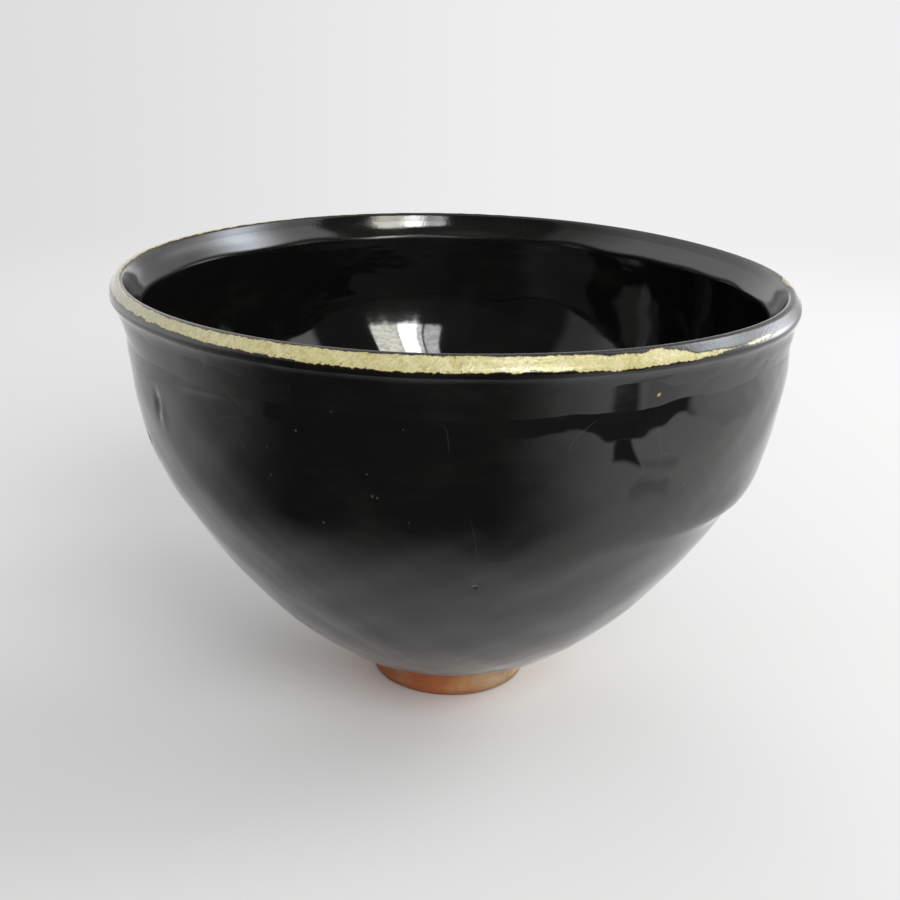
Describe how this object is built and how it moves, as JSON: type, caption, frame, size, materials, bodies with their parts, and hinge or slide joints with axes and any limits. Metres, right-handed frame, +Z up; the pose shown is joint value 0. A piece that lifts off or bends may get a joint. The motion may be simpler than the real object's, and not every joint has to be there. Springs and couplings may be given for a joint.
{
  "type": "matcha bowl",
  "caption": "Tenmoku-shaped matcha bowl with a flared lip, a deep conical body in glossy black glaze, a pale rim band and a small bare clay foot.",
  "frame": {"origin": "centre of the face that the foot ring stands on", "axes": "+Z up along the bowl's axis of revolution; X and Y lie in the plane that it stands on"},
  "size_m": [0.1242, 0.1242, 0.08],
  "materials": {
    "bare_clay": "matte",
    "black_glaze": "gloss",
    "straw_glaze": "satin"
  },
  "bodies": {
    "root": {"clay_body": "bare_clay", "foot_ring": "bare_clay", "outer_glaze": "black_glaze", "inner_glaze": "black_glaze", "rim_glaze": "straw_glaze"}
  },
  "joints": []
}
